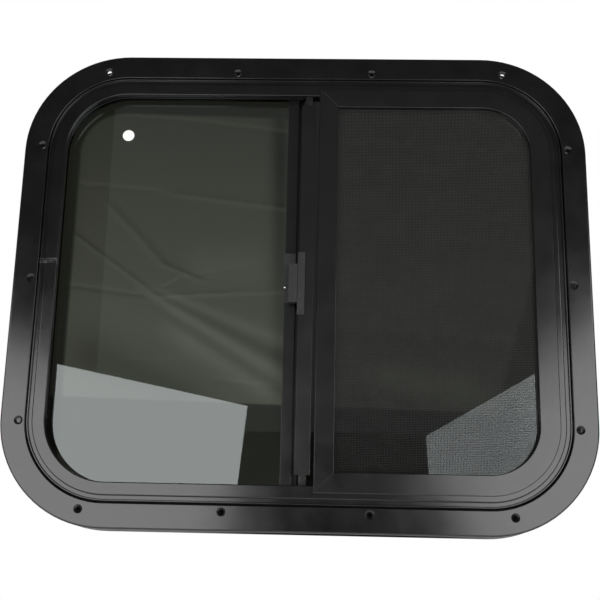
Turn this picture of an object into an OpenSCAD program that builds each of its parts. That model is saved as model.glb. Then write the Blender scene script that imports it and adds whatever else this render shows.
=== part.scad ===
// Sliding caravan window: a bent aluminium frame with a fixed pane, a sliding sash,
// an insect screen and the clamp ring that holds it in the wall from the room side.
// The window is drawn lying on its outside face and is stood up at the end.
// While it lies, x runs to the right, y up the pane and d, along z, towards the room,
// with d = 0 on the face of the outside flange that is sealed to the wall.
// An inset is a distance from the outer edge of the clamp ring towards the middle.

/* [Window] */
// Width over the clamp ring
window_w = 560; // [480:1:900]
// Height over the clamp ring
window_h = 472; // [420:1:700]
// Corner radius of the clamp ring's outer edge
corner_r = 102; // [90:1:130]
// Thickness of the wall that the window clamps
wall_t = 30; // [26:0.5:45]
// Clearance between two pieces that seat in each other
fit = 0.2; // [0.1:0.05:0.3]

/* [Clamp ring] */
// Width of the ring's flange
ring_w = 23.6; // [21:0.1:28]
// Thickness of the ring's flange
ring_t = 2.6; // [2.2:0.1:3.2]
// Radius of the ring's outer front edge
ring_edge_r = 2; // [1:0.1:2.2]
// Wall of the leg that centres the ring in the cut-out
ring_leg_t = 1.6; // [1.2:0.1:2.2]
// Length of that leg behind the flange
ring_leg_l = 4.5; // [3:0.5:8]
// Screw hole
hole_d = 4.5; // [3.5:0.1:5.5]
// Countersink at the ring's face
sink_d = 8.2; // [7:0.1:9]
// Depth of the countersink
sink_h = 1.7; // [1:0.1:1.8]
// Inset of the screw holes
hole_inset = 17.6; // [10:0.1:18]
// Distance of the outer top and bottom holes from the middle
hole_x_outer = 200; // [185:1:225]
// Distance of the inner top and bottom holes from the middle
hole_x_inner = 68; // [40:1:90]
// Distance of the upper and lower side holes from the middle
hole_y_side = 138; // [80:1:150]

/* [Main frame] */
// How far the outside flange reaches past the clamp ring
flange_over = 2; // [0:0.5:6]
// Thickness of the outside flange
flange_t = 2; // [1.6:0.1:3]
// Black gap between the clamp ring and the frame
frame_gap = 1.7; // [1.2:0.1:3]
// Wall of the sleeve that passes through the cut-out
sleeve_t = 1.4; // [1.2:0.1:2]
// Wall of the webs that carry the glass
web_t = 1.4; // [1.2:0.1:1.8]
// Width of the sunk shoulder beside the sleeve's lip
shoulder_w = 3.6; // [3:0.1:5]
// Depth of that shoulder below the leg's face
shoulder_h = 2.4; // [1.6:0.1:2.6]
// Width of the leg's flat face
leg_w = 12.2; // [11:0.1:18]
// Wall of the leg's face
leg_t = 1.8; // [1.4:0.1:2]
// How far the leg's face stands in front of the clamp ring
leg_proud = 1.4; // [0.4:0.1:3]
// How far the sleeve's lip ends below the leg's face
lip_drop = 0.4; // [0:0.1:1]
// Length of the web that the leg hooks back with
hook_l = 8; // [5:0.5:9]
// How far the glass webs stop short of the daylight edge
web_back = 2; // [1:0.5:4]
// Width of the saw cut where the bent frame closes on the left jamb
seam_w = 0.25; // [0.15:0.05:0.5]
// Height of that cut above the middle
seam_y = 18; // [-60:1:60]
// Length of the joint plate behind the cut
joint_plate_l = 56; // [30:1:90]
// Length of a weep slot in the sill
weep_l = 22; // [10:1:30]
// Distance of the weep slots from the middle
weep_x = 120; // [60:1:160]

/* [Glass] */
// Thickness of both panes
glass_t = 3.2; // [3:0.1:4]
// Depth of the fixed pane behind the leg's face
glass_recess = 15; // [14.5:0.1:17]
// Wall of the rubber channel round the fixed pane
seal_t = 1.2; // [0.8:0.1:1.5]
// Thickness of the setting blocks under the fixed pane
block_t = 2.4; // [1.5:0.1:3]
// Length of a setting block
block_l = 40; // [20:1:60]
// Wall of the run channel that the sash slides in
liner_t = 1; // [0.8:0.1:1.2]
// Running clearance of the sash glass in its channel
run_clear = 0.5; // [0.3:0.05:0.6]

/* [Mullion and sash] */
// Right face of the mullion, left of the middle
mullion_x = 5.1; // [3:0.1:8]
// Width of the mullion
mullion_w = 10.5; // [9:0.1:14]
// Wall of the mullion
mullion_t = 1.8; // [1.5:0.1:2]
// Reach of the mullion's seal leg behind the sash stile
mullion_leg = 15; // [12:0.5:18]
// Gap between the mullion and the sash stile
sash_gap = 3.5; // [2:0.1:5]
// Width of the sash stile
stile_w = 14; // [12:0.1:18]
// Wall of the sash stile
stile_t = 1.6; // [1.2:0.1:2]
// How far the stile's face stays behind the leg's face
stile_drop = 1; // [0.5:0.1:3]
// Daylight between the stile's end and the frame
stile_end = 9.8; // [6:0.1:14]
// Width of the guides at the stile's ends
guide_w = 7; // [5:0.5:9]
// Width of the pile strip between mullion and sash
pile_w = 5; // [4:0.5:7]
// Length of the rubber stops in the track
stop_l = 10; // [6:1:20]

/* [Latch] */
// Length of the latch plate on the stile
latch_l = 62; // [55:1:80]
// Thickness of the latch plate
latch_t = 2; // [1.5:0.1:3]
// Height of the latch's middle above the window's middle
latch_y = -2; // [-60:1:60]
// Length of the thumb slide
thumb_l = 38; // [26:1:42]
// Width of the thumb slide
thumb_w = 8.4; // [7:0.1:9]
// Height of the thumb slide
thumb_h = 8; // [6:0.1:11]
// Length of the keeper on the mullion
keeper_l = 50; // [40:1:60]
// Thickness of the keeper
keeper_t = 1; // [0.8:0.1:1.2]
// Diameter of the latch pin
pin_d = 4; // [3:0.1:4.5]

/* [Insect screen] */
// Lap of the screen on the leg's face
screen_lap = 6.5; // [4:0.1:9]
// Width of the screen's bars
bar_w = 19; // [17:0.1:26]
// Depth of the screen's bars
bar_d = 5.3; // [4.5:0.1:6]
// Wall of the screen's bars
bar_t = 1.4; // [1.1:0.1:1.6]
// Gap between the sash stile and the screen
screen_gap = 3.4; // [2:0.1:6]
// Width of the groove for the spline
groove_w = 3.6; // [3:0.1:4.2]
// Thickness of the mesh sheet
mesh_t = 0.4; // [0.3:0.05:0.6]
// Length of each arm of a corner key
key_l = 30; // [20:1:45]

/* [Hidden] */
$fn = 64;

// Insets across the frame
sleeve_u0 = ring_w + frame_gap;
sleeve_u1 = sleeve_u0 + sleeve_t;
leg_u0 = sleeve_u1 + shoulder_w;
leg_u1 = leg_u0 + leg_w;
web_u = leg_u1 - web_back;
liner_u0 = sleeve_u1 + fit;
liner_u1 = liner_u0 + liner_t;
liner_end = web_u - 1;
fixed_u = sleeve_u1 + block_t + seal_t + 3 * fit;
sash_u = liner_u1 + 1.5 * fit;
screen_u0 = leg_u1 - screen_lap;
screen_u1 = screen_u0 + bar_w;

// Depths from the sealed face towards the room
ring_face = wall_t + ring_t;
leg_face = ring_face + leg_proud;
shoulder_d = leg_face - shoulder_h;
fixed_d1 = leg_face - glass_recess;
fixed_d0 = fixed_d1 - glass_t;
pocket_d0 = fixed_d0 - seal_t - 2 * fit;
pocket_d1 = fixed_d1 + seal_t + 2 * fit;
track_d0 = pocket_d1 + web_t;
sash_d0 = track_d0 + fit + liner_t + run_clear;
sash_d1 = sash_d0 + glass_t;
track_d1 = sash_d1 + run_clear + liner_t + fit;
stile_face = leg_face - stile_drop;
stile_back = sash_d0 - fit - 1;
mullion_back = fixed_d0 - fit - mullion_t;
mullion_face = fixed_d1 + fit + mullion_t;
screen_back = leg_face + fit;
screen_face = screen_back + bar_t;
bar_back = screen_face - bar_d;

// Places across the pane
mullion_x1 = -mullion_x;
mullion_x0 = mullion_x1 - mullion_w;
stile_x0 = mullion_x1 + sash_gap;
stile_x1 = stile_x0 + stile_w;
screen_x0 = stile_x1 + screen_gap;
screen_x1 = screen_x0 + bar_w;
fixed_x1 = mullion_x1 - mullion_t - fit;
sash_x0 = stile_x0 + stile_t + fit;
track_x0 = -(window_w / 2 - corner_r);
stile_y = window_h / 2 - leg_u1 - stile_end;
mullion_y = window_h / 2 - web_u - fit;

// Height of the window's middle above the middle of the flange's bottom run
flange_w = sleeve_u0 + flange_over;
centre_z = window_h / 2 + flange_over - flange_w / 2;

// Points along an arc of radius r about c
function arc(c, r, a0, a1, n = 6) =
    [for (i = [0:n]) c + r * [cos(a0 + (a1 - a0) * i / n), sin(a0 + (a1 - a0) * i / n)]];

// Section of the main frame: flange, sleeve, two glass webs, shoulder and hooked leg
function frame_section() = concat(
    [[sleeve_u0, 0], [-flange_over, 0]],
    arc([-flange_over + 1.2, 1.2 - flange_t], 1.2, 180, 270),
    arc([sleeve_u1 - 0.5, 0.5 - flange_t], 0.5, 270, 360, 3),
    [[sleeve_u1, pocket_d0 - web_t]],
    [[web_u, pocket_d0 - web_t], [web_u, pocket_d0], [sleeve_u1, pocket_d0]],
    [[sleeve_u1, pocket_d1], [web_u, pocket_d1], [web_u, track_d0], [sleeve_u1, track_d0]],
    [[sleeve_u1, shoulder_d - web_t], [leg_u0 + web_t, shoulder_d - web_t]],
    [[leg_u0 + web_t, leg_face - leg_t], [leg_u1 - web_t, leg_face - leg_t]],
    [[leg_u1 - web_t, track_d1 + web_t], [leg_u1 - hook_l, track_d1 + web_t]],
    [[leg_u1 - hook_l, track_d1]],
    arc([leg_u1 - 0.5, track_d1 + 0.5], 0.5, 270, 360, 3),
    arc([leg_u1 - 0.8, leg_face - 0.8], 0.8, 0, 90, 4),
    arc([leg_u0 + 1.4, leg_face - 1.4], 1.4, 90, 180),
    [[leg_u0, shoulder_d], [sleeve_u1, shoulder_d]],
    arc([sleeve_u1 - 0.4, leg_face - lip_drop - 0.4], 0.4, 0, 90, 3),
    arc([sleeve_u0 + 0.4, leg_face - lip_drop - 0.4], 0.4, 90, 180, 3),
    [[sleeve_u0, rib_d + 1.5], [ring_w + 1.5 * fit, rib_d + 1.1]],
    [[ring_w + 1.5 * fit, rib_d + 0.4], [sleeve_u0, rib_d]]);
// Depth of the rib that centres the clamp ring's leg
rib_d = wall_t - ring_leg_l + 1;

// Section of the clamp ring: flange with a rolled outer edge and a centring leg
function ring_section() = concat(
    [[0, wall_t]],
    arc([ring_edge_r, ring_face - ring_edge_r], ring_edge_r, 180, 90),
    arc([ring_w - 0.8, ring_face - 0.8], 0.8, 90, 0, 4),
    [[ring_w, wall_t - ring_leg_l], [ring_w - ring_leg_t, wall_t - ring_leg_l]],
    [[ring_w - ring_leg_t, wall_t]]);

// Section of a rubber channel that opens towards the middle
function channel_section(u0, u1, d0, d1, t) = [[u0, d0], [u1, d0], [u1, d0 + t], [u0 + t, d0 + t],
    [u0 + t, d1 - t], [u1, d1 - t], [u1, d1], [u0, d1]];

// Section of the screen's bars: face with a lap, outer web, rib and inner wall
function bar_section() = [[screen_u0, screen_back], [leg_u1 + 1.5 * fit, screen_back],
    [leg_u1 + 1.5 * fit, bar_back], [leg_u1 + 1.5 * fit + bar_t, bar_back],
    [leg_u1 + 1.5 * fit + bar_t, screen_back], [groove_u0 - bar_t, screen_back],
    [groove_u0 - bar_t, bar_back], [groove_u0, bar_back], [groove_u0, screen_back],
    [groove_u1, screen_back], [groove_u1, bar_back], [screen_u1, bar_back],
    [screen_u1, screen_face - 0.4], [screen_u1 - 0.4, screen_face],
    [screen_u0 + 0.6, screen_face], [screen_u0, screen_face - 0.6]];
groove_u1 = screen_u1 - bar_t;
groove_u0 = groove_u1 - groove_w;
// Hollow back of a bar, between its outer web and the groove's rib
hollow_u0 = leg_u1 + 1.5 * fit + bar_t;
hollow_u1 = groove_u0 - bar_t;

// Half lengths of the straight runs
run_x = window_w / 2 - corner_r;
run_y = window_h / 2 - corner_r;

// A section laid at its radius about a corner's centre
module at_radius(section) {
    polygon([for (p = section) [corner_r - p[0], p[1]]]);
}

// One bent corner of a section, counted from the top right towards the left
module corner(section, k) {
    translate([run_x * [1, -1, -1, 1][k], run_y * [1, 1, -1, -1][k], 0])
        rotate([0, 0, 90 * k])
            rotate_extrude(angle = 90)
                at_radius(section);
}

// A straight run along the right or left jamb
module upright_run(section, side = 1, y0 = -run_y, y1 = run_y) {
    translate([side * run_x, side > 0 ? y1 : y0, 0])
        rotate([0, 0, side > 0 ? 0 : 180])
            rotate([90, 0, 0])
                linear_extrude(y1 - y0)
                    at_radius(section);
}

// A straight run along the head or the sill
module level_run(section, side = 1, x0 = -run_x, x1 = run_x) {
    translate([side > 0 ? x0 : x1, side * run_y, 0])
        rotate([0, 0, side > 0 ? 90 : -90])
            rotate([90, 0, 0])
                linear_extrude(x1 - x0)
                    at_radius(section);
}

// A whole closed frame of one section
module closed_frame(section) {
    for (k = [0:3])
        corner(section, k);
    for (side = [-1, 1]) {
        upright_run(section, side);
        level_run(section, side);
    }
}

// A flat sheet with round corners, its edge at one inset
module sheet(inset, d, t) {
    x = window_w / 2 - inset;
    y = window_h / 2 - inset;
    r = corner_r - inset;
    translate([0, 0, d])
        linear_extrude(t) {
            square([2 * (x - r), 2 * y], center = true);
            square([2 * x, 2 * (y - r)], center = true);
            for (i = [-1, 1], j = [-1, 1])
                translate([i * (x - r), j * (y - r)])
                    circle(r);
        }
}

// A block given by its corners
module block(x0, x1, y0, y1, d0, d1) {
    translate([x0, y0, d0])
        cube([x1 - x0, y1 - y0, d1 - d0]);
}

// Everything left of x1, or right of x0, as a cutting block
module left_of(x1) {
    block(-window_w, x1, -window_h, window_h, -wall_t, 3 * wall_t);
}
module right_of(x0) {
    block(x0, window_w, -window_h, window_h, -wall_t, 3 * wall_t);
}

// Stands the window up with its sealed face on y = 0
module stand_up() {
    translate([0, 0, centre_z])
        rotate([90, 0, 0])
            children();
}

// Places of the clamp ring's screw holes
hole_places = concat(
    [for (x = [-hole_x_outer, -hole_x_inner, hole_x_inner, hole_x_outer], s = [-1, 1])
        [x, s * (window_h / 2 - hole_inset)]],
    [for (y = [-hole_y_side, 0, hole_y_side], s = [-1, 1])
        [s * (window_w / 2 - hole_inset), y]]);

module main_frame() {
    color([0.13, 0.13, 0.14])
        stand_up()
            difference() {
                closed_frame(frame_section());
                block(-window_w, -run_x - 10, seam_y, seam_y + seam_w, -2 * wall_t, 3 * wall_t);
                for (side = [-1, 1])
                    translate([side * weep_x, -(window_h / 2 - web_u + 4), pocket_d0 - web_t / 2])
                        cube([weep_l, 4, 3 * web_t], center = true);
            }
}

module frame_joint_plate() {
    color([0.55, 0.56, 0.58])
        stand_up()
            block(-window_w / 2 + sleeve_u1 + fit, -window_w / 2 + sleeve_u1 + fit + 2,
                seam_y - joint_plate_l / 2, seam_y + joint_plate_l / 2,
                track_d0 + fit, track_d1 - fit);
}

module clamp_ring() {
    color([0.11, 0.11, 0.12])
        stand_up()
            difference() {
                closed_frame(ring_section());
                for (p = hole_places)
                    translate([p[0], p[1], 0]) {
                        translate([0, 0, wall_t - 1])
                            cylinder(h = ring_t + 2, d = hole_d);
                        translate([0, 0, ring_face - sink_h])
                            cylinder(h = sink_h, d1 = hole_d, d2 = sink_d);
                    }
            }
}

module fixed_glass() {
    color([0.22, 0.24, 0.22, 0.8])
        stand_up()
            intersection() {
                sheet(fixed_u, fixed_d0, glass_t);
                left_of(fixed_x1);
            }
}

module fixed_glass_seal() {
    section = channel_section(fixed_u - fit - seal_t, web_u - 0.5,
        pocket_d0 + fit, pocket_d1 - fit, seal_t);
    color([0.06, 0.06, 0.06])
        stand_up() {
            upright_run(section, -1);
            for (k = [1, 2])
                corner(section, k);
            for (side = [-1, 1])
                level_run(section, side, -run_x, fixed_x1);
        }
}

module setting_block(x) {
    y = -window_h / 2 + sleeve_u1 + fit;
    color([0.1, 0.1, 0.1])
        stand_up()
            block(x - block_l / 2, x + block_l / 2, y, y + block_t, pocket_d0 + fit, pocket_d1 - fit);
}

module setting_block_left() {
    setting_block(track_x0 + block_l / 2 + 10);
}

module setting_block_right() {
    setting_block(fixed_x1 - block_l / 2 - 10);
}

module mullion() {
    color([0.12, 0.12, 0.13])
        stand_up()
            difference() {
                union() {
                    block(mullion_x0, mullion_x1, -mullion_y, mullion_y, mullion_back, mullion_face);
                    block(mullion_x1 - 1, mullion_x1 + mullion_leg, -mullion_y, mullion_y,
                        mullion_back, mullion_back + mullion_t);
                }
                block(-window_w, fixed_x1 + fit, -window_h, window_h, fixed_d0 - fit, fixed_d1 + fit);
                translate([pin_x, latch_y, fixed_d1])
                    cylinder(h = mullion_t + 2, d = pin_d + 1.6);
            }
}

module mullion_pile() {
    x = mullion_x1 + mullion_leg - pile_w;
    color([0.2, 0.2, 0.21])
        stand_up()
            block(x, x + pile_w, -mullion_y, mullion_y, mullion_back + mullion_t, stile_back - 1.5 * fit);
}

module sash_glass() {
    color([0.2, 0.22, 0.2, 0.8])
        stand_up()
            intersection() {
                sheet(sash_u, sash_d0, glass_t);
                right_of(sash_x0);
            }
}

module sash_stile() {
    color([0.12, 0.12, 0.13])
        stand_up()
            difference() {
                block(stile_x0, stile_x1, -stile_y, stile_y, stile_back, stile_face);
                block(sash_x0 - fit, window_w, -window_h, window_h, sash_d0 - fit, sash_d1 + fit);
                block(stile_x0 + stile_t, stile_x1 - stile_t, -window_h, window_h,
                    sash_d1 + fit + stile_t, stile_face - stile_t);
            }
}

module sash_guide(side) {
    x = (stile_x0 + stile_x1 - guide_w) / 2;
    y0 = stile_y;
    y1 = window_h / 2 - leg_u1 - fit;
    color([0.05, 0.05, 0.05])
        stand_up()
            mirror([0, side < 0 ? 1 : 0, 0]) {
                block(x, x + guide_w, y0, y1, sash_d1 + 1.5 * fit, stile_face - stile_t);
                block(x, x + guide_w, y0 - 6, y0 + 0.1,
                    sash_d1 + stile_t + 2 * fit, stile_face - stile_t - fit);
            }
}

module sash_guide_top() {
    sash_guide(1);
}

module sash_guide_bottom() {
    sash_guide(-1);
}

module sash_run_channel() {
    section = channel_section(liner_u0, liner_end, track_d0 + fit, track_d1 - fit, liner_t);
    color([0.07, 0.07, 0.07])
        stand_up() {
            upright_run(section, 1);
            for (k = [0, 3])
                corner(section, k);
            for (side = [-1, 1])
                level_run(section, side);
        }
}

module sash_stop(side) {
    y0 = window_h / 2 - liner_end;
    y1 = window_h / 2 - liner_u1 - fit;
    color([0.05, 0.05, 0.05])
        stand_up()
            mirror([0, side < 0 ? 1 : 0, 0])
                block(track_x0, track_x0 + stop_l, y0, y1,
                    track_d0 + 2 * fit + liner_t, track_d1 - 2 * fit - liner_t);
}

module sash_stop_top() {
    sash_stop(1);
}

module sash_stop_bottom() {
    sash_stop(-1);
}

module latch_plate() {
    color([0.09, 0.09, 0.1])
        stand_up()
            block(stile_x0 - 1, stile_x0 + 6, latch_y - latch_l / 2, latch_y + latch_l / 2,
                stile_face, stile_face + latch_t);
}

// Right face of the thumb slide, and the pin that it carries
thumb_x1 = stile_x0 - 1 - fit;
pin_x = thumb_x1 - thumb_w + pin_d / 2 + 1.2;

module latch_thumb_slide() {
    color([0.16, 0.16, 0.17])
        stand_up()
            difference() {
                block(thumb_x1 - thumb_w, thumb_x1, latch_y - thumb_l / 2, latch_y + thumb_l / 2,
                    stile_face + latch_t - thumb_h, stile_face + latch_t + 1);
                translate([pin_x, latch_y, stile_face + latch_t - thumb_h - 1])
                    cylinder(h = 4 + fit, d = pin_d + 2 * fit);
            }
}

module latch_pin() {
    color([0.6, 0.6, 0.62])
        stand_up()
            translate([pin_x, latch_y, mullion_face - 0.6])
                cylinder(h = stile_face + latch_t - thumb_h + 3 - mullion_face + 0.6, d = pin_d);
}

module latch_keeper() {
    color([0.15, 0.15, 0.16])
        stand_up()
            difference() {
                union() {
                    block(mullion_x0 - keeper_t - fit, mullion_x1 - fit, latch_y - keeper_l / 2 + 8,
                        latch_y + keeper_l / 2 + 8, mullion_face, mullion_face + keeper_t);
                    block(mullion_x0 - keeper_t - fit, mullion_x0 - fit, latch_y - keeper_l / 2 + 8,
                        latch_y + keeper_l / 2 + 8, fixed_d1 + 2 * fit, mullion_face + keeper_t);
                }
                translate([pin_x, latch_y, mullion_face - 1])
                    cylinder(h = keeper_t + 2, d = pin_d + 2 * fit);
            }
}

// The left bar's share of the screen, which is mitred at its two corners
module left_bar_area(shift = 0) {
    x0 = screen_x0 + shift - 1;
    x1 = screen_x0 + shift + bar_w + 1;
    y = window_h / 2 - screen_u0;
    linear_extrude(3 * wall_t)
        polygon([[x0, y + 1], [x1, y - bar_w - 1], [x1, bar_w + 1 - y], [x0, -y - 1]]);
}

module screen_frame() {
    color([0.14, 0.14, 0.15])
        stand_up()
            difference() {
                union() {
                    upright_run(bar_section(), 1);
                    for (k = [0, 3])
                        corner(bar_section(), k);
                    for (side = [-1, 1])
                        level_run(bar_section(), side, screen_x0, run_x);
                }
                left_bar_area(fit / 2);
            }
}

module screen_stile() {
    y = window_h / 2 - screen_u0;
    color([0.14, 0.14, 0.15])
        stand_up()
            intersection() {
                translate([0, y, 0])
                    rotate([90, 0, 0])
                        linear_extrude(2 * y)
                            polygon([for (p = bar_section()) [screen_x0 + p[0] - screen_u0, p[1]]]);
                left_bar_area();
            }
}

// An L of plastic in the hollow backs of the two bars that meet
module screen_key(side) {
    x0 = screen_x0 + hollow_u0 - screen_u0 + fit;
    w = hollow_u1 - hollow_u0 - 2 * fit;
    y1 = window_h / 2 - hollow_u0 - fit;
    color([0.08, 0.08, 0.08])
        stand_up()
            mirror([0, side < 0 ? 1 : 0, 0]) {
                block(x0, x0 + key_l, y1 - w, y1, bar_back + 0.4, screen_back - fit);
                block(x0, x0 + w, y1 - key_l, y1, bar_back + 0.4, screen_back - fit);
            }
}

module screen_key_top() {
    screen_key(1);
}

module screen_key_bottom() {
    screen_key(-1);
}

module screen_spline() {
    u0 = groove_u0 + fit;
    u1 = groove_u1 - fit;
    d0 = bar_back + 0.4;
    d1 = screen_back - fit;
    section = [[u0, d0], [u1, d0], [u1, d1], [u0, d1]];
    x0 = screen_x1 - bar_t - groove_w + fit;
    color([0.04, 0.04, 0.04])
        stand_up() {
            upright_run(section, 1);
            for (k = [0, 3])
                corner(section, k);
            for (side = [-1, 1])
                level_run(section, side, x0, run_x);
            block(x0, x0 + u1 - u0, -window_h / 2 + u1, window_h / 2 - u1, d0, d1);
        }
}

module screen_mesh() {
    color([0.1, 0.1, 0.1, 0.7])
        stand_up()
            intersection() {
                sheet(groove_u0, bar_back - mesh_t, mesh_t);
                right_of(screen_x1 - bar_t - groove_w);
            }
}

main_frame();
frame_joint_plate();
clamp_ring();
fixed_glass();
fixed_glass_seal();
setting_block_left();
setting_block_right();
mullion();
mullion_pile();
sash_glass();
sash_stile();
sash_guide_top();
sash_guide_bottom();
sash_run_channel();
sash_stop_top();
sash_stop_bottom();
latch_plate();
latch_thumb_slide();
latch_pin();
latch_keeper();
screen_frame();
screen_stile();
screen_key_top();
screen_key_bottom();
screen_spline();
screen_mesh();
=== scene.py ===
"""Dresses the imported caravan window: coats, glass, insect mesh, sticker and studio."""

import math

import bpy
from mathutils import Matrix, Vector


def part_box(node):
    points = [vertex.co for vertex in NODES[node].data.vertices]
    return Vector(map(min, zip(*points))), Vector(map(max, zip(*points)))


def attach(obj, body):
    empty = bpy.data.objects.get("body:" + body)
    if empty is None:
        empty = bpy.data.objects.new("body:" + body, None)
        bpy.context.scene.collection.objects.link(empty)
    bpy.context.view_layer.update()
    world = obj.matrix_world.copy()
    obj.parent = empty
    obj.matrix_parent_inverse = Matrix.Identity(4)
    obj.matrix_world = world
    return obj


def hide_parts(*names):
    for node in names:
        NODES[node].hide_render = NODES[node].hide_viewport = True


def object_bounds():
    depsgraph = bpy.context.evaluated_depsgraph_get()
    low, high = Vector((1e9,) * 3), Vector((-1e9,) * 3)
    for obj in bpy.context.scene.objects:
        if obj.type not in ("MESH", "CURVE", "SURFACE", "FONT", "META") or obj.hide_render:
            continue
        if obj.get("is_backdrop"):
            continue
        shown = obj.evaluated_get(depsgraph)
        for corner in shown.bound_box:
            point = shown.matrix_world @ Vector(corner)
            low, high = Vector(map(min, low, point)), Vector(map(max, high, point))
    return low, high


bl_info = {
    "name": "Caravan window looks",
    "version": (1, 0, 0),
    "blender": (4, 5, 0),
    "location": "3D View > Sidebar > Window",
    "description": "Finishes, insect mesh and studio for a sliding caravan window",
    "category": "Object",
}

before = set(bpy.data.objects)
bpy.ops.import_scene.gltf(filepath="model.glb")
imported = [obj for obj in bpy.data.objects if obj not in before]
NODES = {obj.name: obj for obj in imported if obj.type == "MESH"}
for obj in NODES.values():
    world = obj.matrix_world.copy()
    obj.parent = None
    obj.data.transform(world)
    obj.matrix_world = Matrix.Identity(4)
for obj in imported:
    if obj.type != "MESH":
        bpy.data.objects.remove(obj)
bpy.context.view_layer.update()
MM = 0.001


def linear(value):
    """An sRGB hex value such as 1b1b1c as linear red, green, blue and alpha."""
    channels = [int(value[i : i + 2], 16) / 255 for i in (0, 2, 4)]
    curve = [c / 12.92 if c <= 0.04045 else ((c + 0.055) / 1.055) ** 2.4 for c in channels]
    return (*curve, 1.0)


def colour_property(name, description, value):
    """A colour picker whose default is an sRGB hex value."""
    return bpy.props.FloatVectorProperty(
        name=name,
        description=description,
        default=linear(value)[:3],
        subtype="COLOR",
        size=3,
        min=0,
        max=1,
    )


class WindowSizes(bpy.types.PropertyGroup):
    """Sizes of what the studio and the finishes add to the frame"""

    warp_pitch: bpy.props.FloatProperty(
        name="Warp pitch",
        description="Distance between upright threads of the insect mesh, 18 to the inch",
        default=25.4 / 18 * MM,
        unit="LENGTH",
    )
    weft_pitch: bpy.props.FloatProperty(
        name="Weft pitch",
        description="Distance between level threads of the insect mesh, 16 to the inch",
        default=25.4 / 16 * MM,
        unit="LENGTH",
    )
    # Common mesh has threads of about 0.28 mm; these are drawn thicker so that they show.
    thread: bpy.props.FloatProperty(
        name="Thread",
        description="Thickness of one coated glass-fibre thread",
        default=0.36 * MM,
        unit="LENGTH",
    )
    sticker: bpy.props.FloatProperty(
        name="Sticker",
        description="Diameter of the plain round sticker on the fixed pane",
        default=11.9 * MM,
        unit="LENGTH",
    )
    rivet: bpy.props.FloatProperty(
        name="Rivet",
        description="Diameter of the rivet head on the latch keeper",
        default=3.2 * MM,
        unit="LENGTH",
    )
    orange_peel: bpy.props.FloatProperty(
        name="Orange peel",
        description="Size of the faint waves in the black powder coat",
        default=1.6 * MM,
        unit="LENGTH",
    )
    coat_round: bpy.props.FloatProperty(
        name="Coat rounding",
        description="Radius that the powder coat gives to sharp extruded edges",
        default=0.5 * MM,
        unit="LENGTH",
    )
    cloth_gap: bpy.props.FloatProperty(
        name="Cloth gap",
        description="How far behind the window the studio cloth hangs",
        default=50 * MM,
        unit="LENGTH",
    )
    floor_drop: bpy.props.FloatProperty(
        name="Floor drop",
        description="How far the studio floor lies below the window",
        default=0.9,
        unit="LENGTH",
    )


class WindowColours(bpy.types.PropertyGroup):
    """Colours of the window's finishes"""

    coat: colour_property("Powder coat", "Black coat of the frame and ring", "101011")
    screen: colour_property("Screen paint", "Black paint of the screen's bars", "111112")
    glass: colour_property("Privacy glass", "Light that comes through the tinted panes", "3a3c36")
    plastic: colour_property("Latch plastic", "Black moulded latch parts", "181819")
    mesh: colour_property("Mesh thread", "Coating of the insect mesh", "333334")
    paper: colour_property("Sticker", "Face of the plain sticker", "f2f2ee")


def settings():
    """The scene's sizes, and its colours as red, green, blue and alpha."""
    scene = bpy.context.scene
    group = scene.window_colours
    colours = {name: (*getattr(group, name), 1.0) for name in WindowColours.__annotations__}
    return scene.window_sizes, colours


# Finishes

# Sockets of a Mix node that hold colours: its two inputs and its result.
FIRST, SECOND, MIXED = 6, 7, 2


def blank_material(name):
    """A node material with nothing in it yet, and its node tree."""
    material = bpy.data.materials.new(name)
    material.use_nodes = True
    material.node_tree.nodes.clear()
    return material, material.node_tree


def add(tree, kind, inputs=None, **properties):
    """Adds a node. Inputs gives a socket, by name or number, its value or what is linked to
    it, which is a socket or a node whose first output is meant."""
    node = tree.nodes.new(kind)
    for key, value in properties.items():
        setattr(node, key, value)
    for key, value in (inputs or {}).items():
        if isinstance(value, bpy.types.Node):
            value = value.outputs[0]
        if isinstance(value, bpy.types.NodeSocket):
            tree.links.new(value, node.inputs[key])
        else:
            node.inputs[key].default_value = value
    return node


def scuff_lines(tree, where, seam):
    """Short level lines, 1 inside them, where the bent frame's ends meet on its left side
    at height seam and the coat has chafed."""
    spot = add(tree, "ShaderNodeSeparateXYZ", {"Vector": where}).outputs
    jamb = (-237 * MM, -235 * MM)
    room_face = (-28 * MM, -24 * MM)
    core, rim = 0.1 * MM, 0.5 * MM
    lines = None
    for shift in (-2.4 * MM, -0.7 * MM, 1.6 * MM):
        off = add(tree, "ShaderNodeMath", {0: spot["Z"], 1: seam + shift}, operation="SUBTRACT")
        away = add(tree, "ShaderNodeMath", {0: off}, operation="ABSOLUTE")
        line = add(
            tree,
            "ShaderNodeMapRange",
            {"Value": away, "From Min": core, "From Max": rim, "To Min": 1.0, "To Max": 0.0},
        )
        if lines is None:
            lines = line
        else:
            lines = add(tree, "ShaderNodeMath", {0: lines, 1: line}, operation="MAXIMUM")
    for axis, (full, none) in (("X", jamb), ("Y", room_face)):
        mask = add(
            tree,
            "ShaderNodeMapRange",
            {"Value": spot[axis], "From Min": full, "From Max": none, "To Min": 1.0, "To Max": 0.0},
        )
        lines = add(tree, "ShaderNodeMath", {0: lines, 1: mask}, operation="MULTIPLY")
    grit = add(
        tree,
        "ShaderNodeTexNoise",
        {"Vector": where, "Scale": 1 / (1.4 * MM), "Detail": 3.0, "Roughness": 0.6},
    )
    broken = add(tree, "ShaderNodeMapRange", {"Value": grit, "From Min": 0.44, "From Max": 0.6})
    return add(tree, "ShaderNodeMath", {0: lines, 1: broken}, operation="MULTIPLY")


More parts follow.
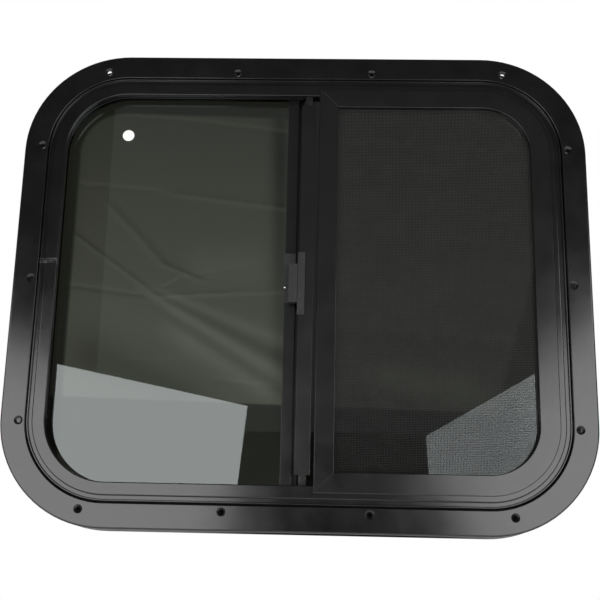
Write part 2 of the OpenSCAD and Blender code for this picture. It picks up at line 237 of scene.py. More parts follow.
def powder_coat(name, colour, roughness, sizes, seam=None):
    """Aluminium with a satin black powder coat: nearly black, an even soft sheen,
    a faint orange peel, edges that the coat rounds off so that they catch the light,
    and a trace of fine dust that lightens it in places. Round a seam it is scuffed grey."""
    material, tree = blank_material(name)
    where = add(tree, "ShaderNodeTexCoord").outputs["Object"]
    dust = add(
        tree,
        "ShaderNodeTexNoise",
        {"Vector": where, "Scale": 1 / (35 * MM), "Detail": 6.0, "Roughness": 0.62},
    )
    film = add(tree, "ShaderNodeMapRange", {"Value": dust, "From Min": 0.35, "From Max": 0.75})
    dusty = (*(min(1, 1.5 * c) for c in colour[:3]), 1.0)
    tone = add(
        tree, "ShaderNodeMix", {"Factor": film, FIRST: colour, SECOND: dusty}, data_type="RGBA"
    ).outputs[MIXED]
    if seam is not None:
        scuffs = scuff_lines(tree, where, seam)
        tone = add(
            tree,
            "ShaderNodeMix",
            {"Factor": scuffs, FIRST: tone, SECOND: linear("6e6e6c")},
            data_type="RGBA",
        ).outputs[MIXED]
    # Dust dulls the gloss in wide patches and as single grains.
    dulled = add(
        tree,
        "ShaderNodeMapRange",
        {
            "Value": dust,
            "From Min": 0.3,
            "From Max": 0.8,
            "To Min": roughness,
            "To Max": roughness + 0.07,
        },
    )
    grains = add(tree, "ShaderNodeTexNoise", {"Vector": where, "Scale": 1 / (0.7 * MM)})
    specks = add(
        tree,
        "ShaderNodeMapRange",
        {"Value": grains, "From Min": 0.3, "From Max": 0.7, "To Min": 0.0, "To Max": 0.03},
    )
    gloss = add(tree, "ShaderNodeMath", {0: dulled, 1: specks}, operation="ADD")
    waves = add(tree, "ShaderNodeTexNoise", {"Vector": where, "Scale": 1 / sizes.orange_peel})
    rounded = add(tree, "ShaderNodeBevel", {"Radius": sizes.coat_round}, samples=6)
    skin = add(
        tree,
        "ShaderNodeBump",
        {"Height": waves, "Normal": rounded, "Strength": 0.05, "Distance": 0.02 * MM},
    )
    shader = add(
        tree,
        "ShaderNodeBsdfPrincipled",
        {"Base Color": tone, "Roughness": gloss, "Normal": skin, "IOR": 1.5},
    )
    add(tree, "ShaderNodeOutputMaterial", {"Surface": shader})
    return material


def bare_aluminium(name):
    """Extruded aluminium as sawn: pale grey metal with fine saw lines."""
    material, tree = blank_material(name)
    where = add(tree, "ShaderNodeTexCoord").outputs["Object"]
    # Real saw lines are about 0.5 mm apart; drawn coarser so that they show. The wave
    # texture repeats every 2 pi / 20 metres at a scale of 1.
    saw_line = 3.14 * MM
    lines = add(
        tree,
        "ShaderNodeTexWave",
        {"Vector": where, "Scale": 2 * math.pi / 20 / saw_line, "Distortion": 3.0, "Detail": 3.0},
        bands_direction="Z",
    ).outputs["Fac"]
    tone = add(
        tree,
        "ShaderNodeMix",
        {"Factor": lines, FIRST: linear("8f9194"), SECOND: linear("b4b6b9")},
        data_type="RGBA",
    ).outputs[MIXED]
    clouds = add(tree, "ShaderNodeTexNoise", {"Vector": where, "Scale": 1 / (2 * MM)})
    gloss = add(
        tree,
        "ShaderNodeMapRange",
        {"Value": clouds, "From Min": 0.3, "From Max": 0.7, "To Min": 0.3, "To Max": 0.45},
    )
    skin = add(tree, "ShaderNodeBump", {"Height": lines, "Strength": 0.2, "Distance": 0.02 * MM})
    shader = add(
        tree,
        "ShaderNodeBsdfPrincipled",
        {"Base Color": tone, "Roughness": gloss, "Normal": skin, "Metallic": 1.0},
    )
    add(tree, "ShaderNodeOutputMaterial", {"Surface": shader})
    return material


def privacy_glass(name, colour):
    """Toughened privacy glass: dark green-grey right through, polished faces that mirror,
    and a float-glass waviness too small to see except in the edges of reflections."""
    material, tree = blank_material(name)
    where = add(tree, "ShaderNodeTexCoord").outputs["Object"]
    hands = add(
        tree, "ShaderNodeTexNoise", {"Vector": where, "Scale": 1 / (60 * MM), "Detail": 3.0}
    )
    smears = add(
        tree,
        "ShaderNodeMapRange",
        {"Value": hands, "From Min": 0.4, "From Max": 0.8, "To Min": 0.0, "To Max": 0.02},
    )
    waves = add(
        tree, "ShaderNodeTexNoise", {"Vector": where, "Scale": 1 / (120 * MM), "Detail": 1.0}
    )
    skin = add(tree, "ShaderNodeBump", {"Height": waves, "Strength": 0.05, "Distance": 0.5 * MM})
    shader = add(
        tree,
        "ShaderNodeBsdfPrincipled",
        {
            "Base Color": colour,
            "Transmission Weight": 1.0,
            # A solar-control tint: it mirrors a little more than clear glass, and cooler.
            "IOR": 1.62,
            "Specular Tint": linear("f7ffff"),
            "Roughness": smears,
            "Normal": skin,
        },
    )
    add(tree, "ShaderNodeOutputMaterial", {"Surface": shader})
    return material


def rubber(name):
    """Extruded EPDM rubber: matt black with a faint bloom."""
    material, tree = blank_material(name)
    where = add(tree, "ShaderNodeTexCoord").outputs["Object"]
    clouds = add(
        tree,
        "ShaderNodeTexNoise",
        {"Vector": where, "Scale": 1 / (8 * MM), "Detail": 4.0, "Roughness": 0.6},
    )
    bloom = add(tree, "ShaderNodeMapRange", {"Value": clouds, "From Min": 0.4, "From Max": 0.75})
    tone = add(
        tree,
        "ShaderNodeMix",
        {"Factor": bloom, FIRST: linear("151515"), SECOND: linear("242423")},
        data_type="RGBA",
    ).outputs[MIXED]
    matt = add(
        tree,
        "ShaderNodeMapRange",
        {"Value": clouds, "From Min": 0.3, "From Max": 0.7, "To Min": 0.62, "To Max": 0.8},
    )
    pores = add(tree, "ShaderNodeTexNoise", {"Vector": where, "Scale": 1 / (0.3 * MM)})
    skin = add(tree, "ShaderNodeBump", {"Height": pores, "Strength": 0.2, "Distance": 0.02 * MM})
    shader = add(
        tree,
        "ShaderNodeBsdfPrincipled",
        {"Base Color": tone, "Roughness": matt, "Normal": skin},
    )
    add(tree, "ShaderNodeOutputMaterial", {"Surface": shader})
    return material


def pile(name):
    """Woven pile weatherstrip: short black fibres, soft sheen, no gloss."""
    material, tree = blank_material(name)
    where = add(tree, "ShaderNodeTexCoord").outputs["Object"]
    # Fibres are 0.03 mm thick; drawn at 0.4 mm so that tufts show in the render.
    tufts = add(
        tree,
        "ShaderNodeTexNoise",
        {"Vector": where, "Scale": 1 / (0.4 * MM), "Detail": 3.0, "Roughness": 0.7},
    )
    tone = add(
        tree,
        "ShaderNodeMix",
        {"Factor": tufts, FIRST: linear("101010"), SECOND: linear("38383a")},
        data_type="RGBA",
    ).outputs[MIXED]
    nap = add(tree, "ShaderNodeBump", {"Height": tufts, "Strength": 0.8, "Distance": 0.2 * MM})
    shader = add(
        tree,
        "ShaderNodeBsdfPrincipled",
        {"Base Color": tone, "Roughness": 0.95, "Sheen Weight": 0.4, "Normal": nap},
    )
    add(tree, "ShaderNodeOutputMaterial", {"Surface": shader})
    return material


def moulded_plastic(name, colour, roughness):
    """Injection-moulded acetal or nylon: black, a fine spark-eroded grain and a worn shine
    on what is touched most."""
    material, tree = blank_material(name)
    where = add(tree, "ShaderNodeTexCoord").outputs["Object"]
    wear = add(
        tree,
        "ShaderNodeTexNoise",
        {"Vector": where, "Scale": 1 / (9 * MM), "Detail": 4.0, "Roughness": 0.6},
    )
    worn = add(tree, "ShaderNodeMapRange", {"Value": wear, "From Min": 0.45, "From Max": 0.7})
    tone = add(
        tree,
        "ShaderNodeMix",
        {"Factor": worn, FIRST: colour, SECOND: linear("2c2c2d")},
        data_type="RGBA",
    ).outputs[MIXED]
    gloss = add(
        tree,
        "ShaderNodeMapRange",
        {
            "Value": wear,
            "From Min": 0.35,
            "From Max": 0.7,
            "To Min": roughness + 0.08,
            "To Max": roughness - 0.1,
        },
    )
    grain = add(tree, "ShaderNodeTexNoise", {"Vector": where, "Scale": 1 / (0.25 * MM)})
    skin = add(tree, "ShaderNodeBump", {"Height": grain, "Strength": 0.12, "Distance": 0.02 * MM})
    shader = add(
        tree,
        "ShaderNodeBsdfPrincipled",
        {"Base Color": tone, "Roughness": gloss, "Normal": skin, "IOR": 1.48},
    )
    add(tree, "ShaderNodeOutputMaterial", {"Surface": shader})
    return material


def zinc_plate(name):
    """Zinc-plated steel: bright grey metal with a cloudy passivated skin."""
    material, tree = blank_material(name)
    where = add(tree, "ShaderNodeTexCoord").outputs["Object"]
    clouds = add(
        tree,
        "ShaderNodeTexNoise",
        {"Vector": where, "Scale": 1 / (1.5 * MM), "Detail": 4.0, "Roughness": 0.6},
    )
    tone = add(
        tree,
        "ShaderNodeMix",
        {"Factor": clouds, FIRST: linear("9c9ea0"), SECOND: linear("c3c4c6")},
        data_type="RGBA",
    ).outputs[MIXED]
    gloss = add(
        tree,
        "ShaderNodeMapRange",
        {"Value": clouds, "From Min": 0.3, "From Max": 0.7, "To Min": 0.22, "To Max": 0.36},
    )
    crystals = add(tree, "ShaderNodeTexNoise", {"Vector": where, "Scale": 1 / (0.2 * MM)})
    skin = add(tree, "ShaderNodeBump", {"Height": crystals, "Strength": 0.1, "Distance": 0.01 * MM})
    shader = add(
        tree,
        "ShaderNodeBsdfPrincipled",
        {"Base Color": tone, "Roughness": gloss, "Normal": skin, "Metallic": 1.0},
    )
    add(tree, "ShaderNodeOutputMaterial", {"Surface": shader})
    return material


def mesh_thread(name, colour):
    """Glass-fibre thread dipped in black vinyl: dark, smooth, a small soft shine."""
    material, tree = blank_material(name)
    where = add(tree, "ShaderNodeTexCoord").outputs["Object"]
    dust = add(
        tree,
        "ShaderNodeTexNoise",
        {"Vector": where, "Scale": 1 / (12 * MM), "Detail": 4.0, "Roughness": 0.6},
    )
    film = add(tree, "ShaderNodeMapRange", {"Value": dust, "From Min": 0.4, "From Max": 0.75})
    tone = add(
        tree,
        "ShaderNodeMix",
        {"Factor": film, FIRST: colour, SECOND: linear("3a3a39")},
        data_type="RGBA",
    ).outputs[MIXED]
    gloss = add(
        tree,
        "ShaderNodeMapRange",
        {"Value": dust, "From Min": 0.3, "From Max": 0.7, "To Min": 0.35, "To Max": 0.5},
    )
    shader = add(tree, "ShaderNodeBsdfPrincipled", {"Base Color": tone, "Roughness": gloss})
    add(tree, "ShaderNodeOutputMaterial", {"Surface": shader})
    return material


def sticker_paper(name, colour):
    """Coated paper label: white, faintly fibrous, a soft satin face."""
    material, tree = blank_material(name)
    where = add(tree, "ShaderNodeTexCoord").outputs["Object"]
    fibres = add(
        tree,
        "ShaderNodeTexNoise",
        {"Vector": where, "Scale": 1 / (0.5 * MM), "Detail": 4.0, "Roughness": 0.7},
    )
    tone = add(
        tree,
        "ShaderNodeMix",
        {"Factor": fibres, FIRST: colour, SECOND: linear("dededa")},
        data_type="RGBA",
    ).outputs[MIXED]
    gloss = add(
        tree,
        "ShaderNodeMapRange",
        {"Value": fibres, "From Min": 0.3, "From Max": 0.7, "To Min": 0.4, "To Max": 0.55},
    )
    shader = add(tree, "ShaderNodeBsdfPrincipled", {"Base Color": tone, "Roughness": gloss})
    add(tree, "ShaderNodeOutputMaterial", {"Surface": shader})
    return material


def give(material, *names):
    """Assigns a finish to CAD nodes."""
    for name in names:
        slots = NODES[name].data.materials
        slots.clear()
        slots.append(material)


# The window's pieces

# Radius of the mesh's round corners, which lie on its right side.
MESH_CORNER = 41.5 * MM


def mesh_object(name, points, faces, material):
    """A mesh object from points and faces in the row frame."""
    data = bpy.data.meshes.new(name)
    data.from_pydata(points, [], faces)
    data.materials.append(material)
    piece = bpy.data.objects.new(name, data)
    bpy.context.scene.collection.objects.link(piece)
    return piece


def domed_disc(name, centre, rise, rings, count, material):
    """A thin round piece that faces the room. Each ring is a radius and a height; the middle
    stands rise high, and count points go round."""
    points = [(centre.x, centre.y - rise, centre.z)]
    for radius, height in rings:
        for k in range(count):
            a = 2 * math.pi * k / count
            points.append(
                (centre.x + radius * math.cos(a), centre.y - height, centre.z + radius * math.sin(a))
            )
    faces = []
    for k in range(count):
        n = (k + 1) % count
        faces.append((0, 1 + n, 1 + k))
        for ring in range(len(rings) - 1):
            a, b = 1 + ring * count, 1 + (ring + 1) * count
            faces.append((a + k, a + n, b + n, b + k))
    faces.append(tuple(1 + (len(rings) - 1) * count + k for k in range(count)))
    piece = mesh_object(name, points, faces, material)
    piece.data.shade_smooth()
    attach(piece, "root")


class WINDOW_OT_frame(bpy.types.Operator):
    """Gives the main frame, the clamp ring and the joint plate their finishes"""

    bl_idname = "window.frame"
    bl_label = "Frame and clamp ring"

    def execute(self, context):
        sizes, colours = settings()
        low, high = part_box("frame_joint_plate")
        seam = (low.z + high.z) / 2
        give(powder_coat("powder coated frame", colours["coat"], 0.11, sizes, seam), "main_frame")
        give(powder_coat("powder coated ring", colours["coat"], 0.11, sizes), "clamp_ring")
        give(bare_aluminium("sawn aluminium"), "frame_joint_plate")
        return {"FINISHED"}


class WINDOW_OT_panes(bpy.types.Operator):
    """Gives the panes their tint and everything soft that holds them its rubber"""

    bl_idname = "window.panes"
    bl_label = "Panes and rubbers"

    def execute(self, context):
        colours = settings()[1]
        give(privacy_glass("privacy glass", colours["glass"]), "fixed_glass", "sash_glass")
        give(
            rubber("black rubber"),
            "fixed_glass_seal",
            "setting_block_left",
            "setting_block_right",
            "sash_run_channel",
            "sash_stop_top",
            "sash_stop_bottom",
            "screen_spline",
        )
        give(pile("pile weatherstrip"), "mullion_pile")
        for name in ("fixed_glass", "sash_glass"):
            NODES[name].data.shade_flat()
        return {"FINISHED"}


class WINDOW_OT_sash(bpy.types.Operator):
    """Gives the mullion and the stile their coat and the latch its plastic, zinc and rivet"""

    bl_idname = "window.sash"
    bl_label = "Mullion, stile and latch"

    def execute(self, context):
        sizes, colours = settings()
        give(powder_coat("powder coated stile", colours["coat"], 0.17, sizes), "sash_stile")
        give(powder_coat("powder coated mullion", colours["coat"], 0.13, sizes), "mullion")
        give(
            moulded_plastic("black latch plastic", colours["plastic"], 0.38),
            "latch_plate",
            "latch_thumb_slide",
            "latch_keeper",
        )
        give(
            moulded_plastic("smooth nylon of the guides", colours["plastic"], 0.18),
            "sash_guide_top",
            "sash_guide_bottom",
        )
        zinc = zinc_plate("zinc plated pin")
        give(zinc, "latch_pin")
        self.rivet(zinc, sizes.rivet / 2)
        return {"FINISHED"}

    def rivet(self, material, radius):
        """The domed head of the rivet that holds the keeper to the mullion."""
        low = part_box("latch_keeper")[0]
        from_edge, from_foot = 0.2 * MM, 16 * MM
        centre = Vector((low.x + from_edge + radius, low.y, low.z + from_foot))
        rise = 0.35 * radius
        shares = (0.25, 0.5, 0.75, 1.0)
        rings = [(radius * share, rise * (1 - share * share)) for share in shares]
        domed_disc("keeper_rivet", centre, rise, rings, 16, material)


class WINDOW_OT_screen(bpy.types.Operator):
    """Paints the insect screen's bars and weaves its mesh in place of the CAD sheet"""

    bl_idname = "window.screen"
    bl_label = "Insect screen"

    def execute(self, context):
        sizes, colours = settings()
        give(
            powder_coat("painted screen bars", colours["screen"], 0.13, sizes),
            "screen_frame",
            "screen_stile",
        )
        give(
            moulded_plastic("corner key plastic", colours["plastic"], 0.38),
            "screen_key_top",
            "screen_key_bottom",
        )
        material = mesh_thread("vinyl coated thread", colours["mesh"])
        low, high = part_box("screen_mesh")
        warp, weft = self.weave(low, high, sizes)
        for name, lines, upright in (("mesh_warp", warp, True), ("mesh_weft", weft, False)):
            piece = self.threads(name, lines, sizes.thread / 2, upright, material)
            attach(piece, "root")
            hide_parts("screen_mesh")
        return {"FINISHED"}

    def weave(self, low, high, sizes):
        """The upright and the level threads of the mesh, each a list of its crossings, where
        it goes in turn over and under."""
        middle = (low.y + high.y) / 2
        crown = sizes.thread / 2 * 0.75
        columns = int((high.x - low.x) / sizes.warp_pitch)
        rows = int((high.z - low.z) / sizes.weft_pitch)
        across = [low.x + (i + 0.5) * sizes.warp_pitch for i in range(columns)]
        up = [low.z + (j + 0.5) * sizes.weft_pitch for j in range(rows)]
        bend = high.x - MESH_CORNER
        warp, weft = [], []
        for i, x in enumerate(across):
            cut = 0.0
            if x > bend:
                cut = MESH_CORNER - math.sqrt(max(0.0, MESH_CORNER**2 - (x - bend) ** 2))
            warp.append(
                [
                    (x, middle + (crown if (i + j) % 2 else -crown), z)
                    for j, z in enumerate(up)
                    if low.z + cut <= z <= high.z - cut
                ]
            )
        for j, z in enumerate(up):
            edge = min(z - low.z, high.z - z)
            reach = high.x
            if edge < MESH_CORNER:
                reach = bend + math.sqrt(max(0.0, MESH_CORNER**2 - (MESH_CORNER - edge) ** 2))
            weft.append(
                [
                    (x, middle - (crown if (i + j) % 2 else -crown), z)
                    for i, x in enumerate(across)
                    if x <= reach
                ]
            )
        return warp, weft

    def threads(self, name, lines, radius, upright, material):
        """One mesh of three-sided threads that follow the lines."""
        points, faces = [], []
        for line in lines:
            start = len(points)
            for x, y, z in line:
                for k in range(3):
                    a = math.radians(120 * k - 90)
                    side, out = radius * math.cos(a), radius * math.sin(a)
                    points.append((x + side, y + out, z) if upright else (x, y + out, z + side))
            for i in range(len(line) - 1):
                for k in range(3):
                    a, b = start + 3 * i + k, start + 3 * i + (k + 1) % 3
                    faces.append((a, b, b + 3, a + 3))
        return mesh_object(name, points, faces, material)


class WINDOW_OT_sticker(bpy.types.Operator):
    """Puts the plain round sticker on the fixed pane"""

    bl_idname = "window.sticker"
    bl_label = "Sticker"

    def execute(self, context):
        sizes, colours = settings()
        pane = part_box("fixed_glass")[0]
        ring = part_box("clamp_ring")
        middle = (ring[0].z + ring[1].z) / 2
        glue = 0.05 * MM
        centre = Vector((-179.0 * MM, pane.y - glue, middle + 155.0 * MM))
        radius = sizes.sticker / 2
        # The paper's edge curls down to the glass: shares of the radius and of the thickness.
        thick = 0.12 * MM
        profile = ((0.5, 1.0), (0.9, 5 / 6), (1.0, 1 / 3), (1.0, 0.0))
        rings = [(radius * share, thick * height) for share, height in profile]
        paper = sticker_paper("sticker paper", colours["paper"])
        domed_disc("round_sticker", centre, thick, rings, 48, paper)
        return {"FINISHED"}


# The studio

# Plane of the light boards, in metres along y, and their corners in it as x and z.
BOARDS_Y = -2.2
LEFT_SOFTBOX = (
    (-2.4, -0.6),
    (-0.32, -0.6),
    (-0.275, 0.02),
    (-0.252, 0.115),
    (-0.228, 0.372),
    (-0.85, 0.497),
    (-1.1, 0.6),
    (-2.4, 0.95),
)
RIGHT_SOFTBOX = (
    (0.47, 0.02),
    (0.46, -0.6),
    (2.4, -0.6),
    (2.4, 1.3),
    (1.0, 0.78),
    (0.696, 0.491),
    (0.345, 0.284),
    (0.353, 0.164),
)
GREY_CLOTH = ((-0.75, 0.3), (0.75, 0.3), (0.75, 1.5), (-0.75, 1.5))

# Sharp creases of the cloth behind the window: start, end, half width in millimetres,
# painted light and shade above the line and below it. Points are x from the middle, z from the
# sill's foot.
CREASES = (
    ((-262, 306), (-156, 230), 2.2, -0.3, 0.22),
    ((-262, 240), (-160, 227), 2.4, 0.2, -0.26),
    ((-160, 227), (-60, 233), 2.4, -0.14, 0.34),
    ((-60, 233), (10, 236), 2.4, -0.04, 0.24),
    ((-262, 352), (-150, 343), 3.0, 0.18, -0.06),
    ((-150, 343), (0, 324), 3.0, -0.1, 0.22),
    ((-208, 432), (-110, 424), 3.0, 0.2, -0.04),
    ((-110, 424), (0, 410), 3.0, 0.2, -0.06),
    ((-150, 263), (-104, 244), 2.6, -0.36, 0.2),
    ((-148, 236), (-130, 246), 2.2, 0.3, -0.08),
    ((-130, 246), (-60, 262), 2.2, 0.12, -0.05),
    ((-212, 330), (-147, 262), 4.0, -0.2, 0.14),
    ((-90, 140), (-20, 132), 2.4, 0.2, -0.1),
    ((-190, 158), (-110, 160), 2.4, 0.12, -0.05),
    ((30, 402), (250, 390), 4.0, 0.16, -0.06),
    ((30, 306), (240, 282), 4.0, 0.14, -0.1),
    ((30, 200), (230, 180), 6.0, 0.14, -0.1),
)

# Soft folds that fan out from the knot of the cloth: start, end, half width at the start
# and at the end, and brightness: a painted highlight where positive, painted shade where negative.
FOLDS = (
    ((-150, 233), (-8, 176), 3, 9, 0.42),
    ((-150, 226), (-8, 158), 4, 8, -0.26),
    ((-158, 227), (-8, 138), 4, 8, 0.66),
    ((-140, 206), (-8, 122), 4, 6, -0.24),
    ((-136, 190), (-20, 120), 12, 11, 0.6),
    ((-240, 170), (-100, 118), 26, 13, -0.46),
    ((-246, 222), (-120, 196), 16, 20, 0.1),
    ((-120, 262), (-40, 262), 20, 22, 0.22),
    ((-28, 440), (-18, 100), 11, 10, -0.6),
    ((-250, 420), (-250, 260), 12, 12, -0.14),
    ((60, 215), (220, 250), 22, 22, 0.12),
    ((70, 150), (190, 128), 14, 20, 0.8),
)

# Brightness of the dim room beside the cloth and round it.
DIM_ROOM = 0.27


def across_line(x, z, start, end):
    """How far a point lies along a line, as a share of it, and how far to its upper side."""
    ax, az = start
    bx, bz = end
    length = math.hypot(bx - ax, bz - az)
    ux, uz = (bx - ax) / length, (bz - az) / length
    return ((x - ax) * ux + (z - az) * uz) / length, (z - az) * ux - (x - ax) * uz


def step(value, soft):
    """0 below zero and 1 above it, with a soft step between."""
    return min(1.0, max(0.0, 0.5 + value / soft))


def fold_light_and_shade(x, z):
    """Painted light and shade of the creased cloth before its edges: the painted light fades
    slowly upwards, and creases and folds add painted highlights and painted shade to it."""
    # Painted light that fades slowly upwards from 190 mm.
    tone = 1.34 - 0.0027 * max(0.0, z - 190)
    for start, end, width, above, below in CREASES:
        along, off = across_line(x, z, start, end)
        if -0.2 < along < 1.2 and abs(off) < 4 * width:
            near = math.exp(-((abs(off) - 0.7 * width) ** 2) / (width * width))
            tone += (above if off > 0 else below) * near * step(along, 0.2) * step(1 - along, 0.2)
    for start, end, at_start, at_end, height in FOLDS:
        along, off = across_line(x, z, start, end)
        if -0.3 < along < 1.3:
            width = at_start + (at_end - at_start) * min(1.0, max(0.0, along))
            if abs(off) < 3 * width:
                near = math.exp(-off * off / (width * width))
                tone += height * near * step(along, 0.3) * step(1 - along, 0.3)
    return tone


def cloth_light_and_shade(x, z):
    """Painted light and shade of the studio cloth at a point, in millimetres as in CREASES. 1
    shows as a middle grey through the tinted glass. The left piece of cloth hangs behind the
    fixed pane and has a round upper corner; the right one has the screen's shadow painted on it."""
    left_piece, right_piece = 3, 26
    if left_piece <= x < right_piece:
        # The shadow between the sash's stile and the screen.
        return 0.12
    tone = fold_light_and_shade(x, z)
    # Both upper edges fall a little to the right.
    if x < left_piece:
        side, soft = -247, 3
        top = 435.3 - 0.022 * (x + 203)
        corner_x, corner_z, corner_r = -199, 387, 48
        inside = min(x - side, top - z)
        if x < corner_x and z > corner_z:
            inside = corner_r - math.hypot(x - corner_x, z - corner_z)
    else:
        soft = 16
        top = 420.5 - 0.0738 * (x - 34)
        inside = top - z
        # A slanting shadow lies over the right end of the screen's shadow.
        slant = 167.5 + 0.285 * z
        tone *= 0.38 * (1 - 0.45 * step(x - slant, 4))
    darkest = 0.05
    return DIM_ROOM + (max(darkest, tone) - DIM_ROOM) * step(inside - soft / 2, soft)


def cloth_material():
    """Cotton cloth, finely woven, that glows with painted light and shade: it shows the tones kept
    in its points and ends at a crisp hem, below which the room is dark, painted as the cloth's glow
    dimmed to 0.28."""
    material, tree = blank_material("studio cloth")
    where = add(tree, "ShaderNodeTexCoord").outputs["Object"]
    spot = add(tree, "ShaderNodeSeparateXYZ", {"Vector": where}).outputs
    # The hem falls 22 mm in a metre.
    level = add(
        tree, "ShaderNodeMath", {0: spot["X"], 1: 0.022, 2: spot["Z"]}, operation="MULTIPLY_ADD"
    )
    above = add(
        tree, "ShaderNodeMapRange", {"Value": level, "From Min": 113.5 * MM, "From Max": 115.5 * MM}
    )
    tone = add(tree, "ShaderNodeAttribute", attribute_name="tone").outputs["Fac"]
    # Cotton threads are about 0.3 mm; drawn at 1.2 mm so that the weave shows.
    threads = add(
        tree,
        "ShaderNodeTexNoise",
        {"Vector": where, "Scale": 1 / (1.2 * MM), "Detail": 3.0, "Roughness": 0.7},
    )
    weave = add(
        tree,
        "ShaderNodeMapRange",
        {"Value": threads, "From Min": 0.3, "From Max": 0.7, "To Min": 0.94, "To Max": 1.06},
    )
    lit = add(tree, "ShaderNodeMath", {0: tone, 1: weave}, operation="MULTIPLY")
    # Painted shade: below the hem the cloth's painted light is dimmed to 0.28.
    dark = add(tree, "ShaderNodeMath", {0: lit, 1: 0.28}, operation="MULTIPLY")
    shade = add(tree, "ShaderNodeMix", {"Factor": above, "A": dark, "B": lit})
    glow = add(tree, "ShaderNodeEmission", {"Strength": shade, "Color": linear("fdfff9")})
    add(tree, "ShaderNodeOutputMaterial", {"Surface": glow})
    return material


def glowing_material(name, strength, colour="ffffff"):
    """A surface that only glows, such as a soft box's front; black at strength 0."""
    material, tree = blank_material(name)
    glow = add(tree, "ShaderNodeEmission", {"Color": linear(colour), "Strength": strength})
    add(tree, "ShaderNodeOutputMaterial", {"Surface": glow})
    return material


def cloth_behind(gap):
    """The dark creased cloth that hangs behind the window and glows with painted light and shade,
    and the dim room behind it. Only light that comes through the panes shows them, so they dim
    what the tinted glass lets through and nothing else."""
    pitch = 2 * MM
    columns, rows = 261, 221
    foot = 20 * MM
    points, faces, tones = [], [], []
    for j in range(rows):
        for i in range(columns):
            x, z = (i - columns // 2) * pitch, foot + j * pitch
            points.append((x, gap, z))
            # Each point keeps the cloth's painted light and shade.
            tones.append(cloth_light_and_shade(x / MM, z / MM))
            if i and j:
                a = len(points) - 1
                faces.append((a - columns - 1, a - columns, a, a - 1))
    cloth = mesh_object("studio_cloth", points, faces, cloth_material())
    layer = cloth.data.attributes.new("tone", "FLOAT", "POINT")
    layer.data.foreach_set("value", tones)
    half_width, below, above = 1.2, 0.9, 1.8
    y = gap + 5 * MM
    room = mesh_object(
        "room_behind",
        [(x, y, z) for x, z in rectangle(half_width, -below, above)],
        [(0, 1, 2, 3)],
        glowing_material("dim room", DIM_ROOM, "fdfff7"),
    )
    for sheet in (cloth, room):
        sheet.visible_camera = False
        sheet.visible_glossy = False
        sheet.visible_diffuse = False
        sheet.visible_shadow = False
        sheet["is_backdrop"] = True


def rectangle(half_width, low, high):
    """Corners of a sheet that lies evenly about the middle, as pairs."""
    return ((-half_width, low), (half_width, low), (half_width, high), (-half_width, high))


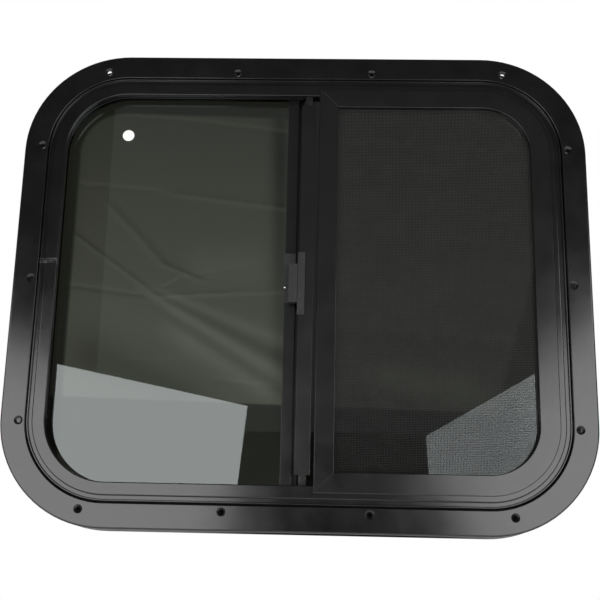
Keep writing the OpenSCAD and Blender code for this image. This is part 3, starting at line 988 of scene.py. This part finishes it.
def card(name, corners, strength):
    """A studio card: a flat glowing or black sheet. The camera doesn't see it directly, and
    only a bright one lights the room."""
    faces = [tuple(range(len(corners)))]
    piece = mesh_object(name, corners, faces, glowing_material(name, strength))
    piece.visible_camera = False
    piece.visible_transmission = False
    piece.visible_diffuse = strength > 1
    piece.visible_shadow = False
    piece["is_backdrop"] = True


class WINDOW_OT_studio(bpy.types.Operator):
    """Sets up the camera, the white room, the pale floor and the soft light cards"""

    bl_idname = "window.studio"
    bl_label = "Studio"

    def execute(self, context):
        sizes = settings()[0]
        scene = context.scene
        scene.view_settings.view_transform = "Standard"
        self.camera(scene)
        self.white_room(scene)
        self.floor(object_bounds()[0].z - sizes.floor_drop)
        self.lights()
        cloth_behind(sizes.cloth_gap)
        return {"FINISHED"}

    def camera(self, scene):
        """A camera before the window, at the height of its foot and turned upwards."""
        camera = bpy.data.cameras.new("studio camera")
        camera.lens = 57.56
        camera.sensor_width = 36.0
        camera.clip_end = 50.0
        eye = bpy.data.objects.new("studio camera", camera)
        eye.location = (0.0269, -0.92906, -0.00641)
        eye.rotation_euler = [math.radians(a) for a in (103.334, -1.1999, 1.42543)]
        scene.collection.objects.link(eye)
        scene.camera = eye

    def white_room(self, scene):
        """A white world that lights dimly but looks white, straight, in gloss and through glass."""
        world = bpy.data.worlds.new("white room")
        world.use_nodes = True
        scene.world = world
        tree = world.node_tree
        tree.nodes.clear()
        path = add(tree, "ShaderNodeLightPath").outputs
        seen = path["Is Camera Ray"]
        for other in ("Is Glossy Ray", "Is Transmission Ray"):
            seen = add(tree, "ShaderNodeMath", {0: seen, 1: path[other]}, operation="MAXIMUM")
        strength = add(tree, "ShaderNodeMapRange", {"Value": seen, "To Min": 0.3, "To Max": 1.0})
        sky = add(
            tree, "ShaderNodeBackground", {"Strength": strength, "Color": linear("ffffff")}
        )
        add(tree, "ShaderNodeOutputWorld", {"Surface": sky})

    def floor(self, ground):
        """A matt white vinyl floor with faint clouds. It glows a little, so that it stays
        pale where no light reaches it."""
        material, tree = blank_material("matt white vinyl")
        where = add(tree, "ShaderNodeTexCoord").outputs["Object"]
        clouds = add(tree, "ShaderNodeTexNoise", {"Vector": where, "Scale": 1 / 0.4})
        tone = add(
            tree,
            "ShaderNodeMix",
            {"Factor": clouds, FIRST: linear("f7f7f7"), SECOND: linear("fbfbfb")},
            data_type="RGBA",
        ).outputs[MIXED]
        shader = add(
            tree,
            "ShaderNodeBsdfPrincipled",
            {
                "Base Color": tone,
                "Roughness": 0.9,
                "Emission Color": tone,
                "Emission Strength": 0.5,
            },
        )
        add(tree, "ShaderNodeOutputMaterial", {"Surface": shader})
        reach = 9
        corners = [(x, y, ground) for x, y in rectangle(reach, -reach, reach)]
        mesh_object("studio_floor", corners, [(0, 1, 2, 3)], material)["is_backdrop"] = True

    def lights(self):
        """Two soft boxes low behind the camera, a grey cloth above, and a dark room round
        them that only gloss shows."""
        for name, corners, y, strength in (
            ("left_softbox", LEFT_SOFTBOX, BOARDS_Y, 4.6),
            ("right_softbox", RIGHT_SOFTBOX, BOARDS_Y, 4.8),
            ("grey_cloth", GREY_CLOTH, BOARDS_Y - 0.1, 0.18),
        ):
            card(name, [(x, y, z) for x, z in corners], strength)
        back, front, side, foot, top = BOARDS_Y - 0.3, 1.5, 3.2, -2, 5.0
        card("black_cloth", [(x, back, z) for x, z in rectangle(side, foot, top)], 0.0)
        for name, x in (("left_flag", -side), ("right_flag", side)):
            corners = [(x, back, foot), (x, front, foot), (x, front, top), (x, back, top)]
            card(name, corners, 0.03)
        card("top_flag", [(x, y, top) for x, y in rectangle(side, back, front)], 0.03)


class WINDOW_PT_looks(bpy.types.Panel):
    """Lists the steps that dress the window"""

    bl_idname = "WINDOW_PT_looks"
    bl_label = "Caravan window"
    bl_space_type = "VIEW_3D"
    bl_region_type = "UI"
    bl_category = "Window"

    def draw(self, context):
        for operator in STEPS:
            self.layout.operator(operator.bl_idname)
        for group in (context.scene.window_sizes, context.scene.window_colours):
            box = self.layout.box()
            for name in group.__annotations__:
                box.prop(group, name)


STEPS = (
    WINDOW_OT_frame,
    WINDOW_OT_panes,
    WINDOW_OT_sash,
    WINDOW_OT_screen,
    WINDOW_OT_sticker,
    WINDOW_OT_studio,
)
CLASSES = (WindowSizes, WindowColours, *STEPS, WINDOW_PT_looks)


def register():
    """Makes the steps and the settings known to Blender."""
    for kind in CLASSES:
        bpy.utils.register_class(kind)
    bpy.types.Scene.window_sizes = bpy.props.PointerProperty(type=WindowSizes)
    bpy.types.Scene.window_colours = bpy.props.PointerProperty(type=WindowColours)


def unregister():
    """Takes the steps and the settings away again."""
    del bpy.types.Scene.window_colours
    del bpy.types.Scene.window_sizes
    for kind in reversed(CLASSES):
        bpy.utils.unregister_class(kind)


def main():
    """Dresses the window."""
    register()
    for operator in STEPS:
        group, name = operator.bl_idname.split(".")
        getattr(getattr(bpy.ops, group), name)()


if __name__ == "__main__":
    main()
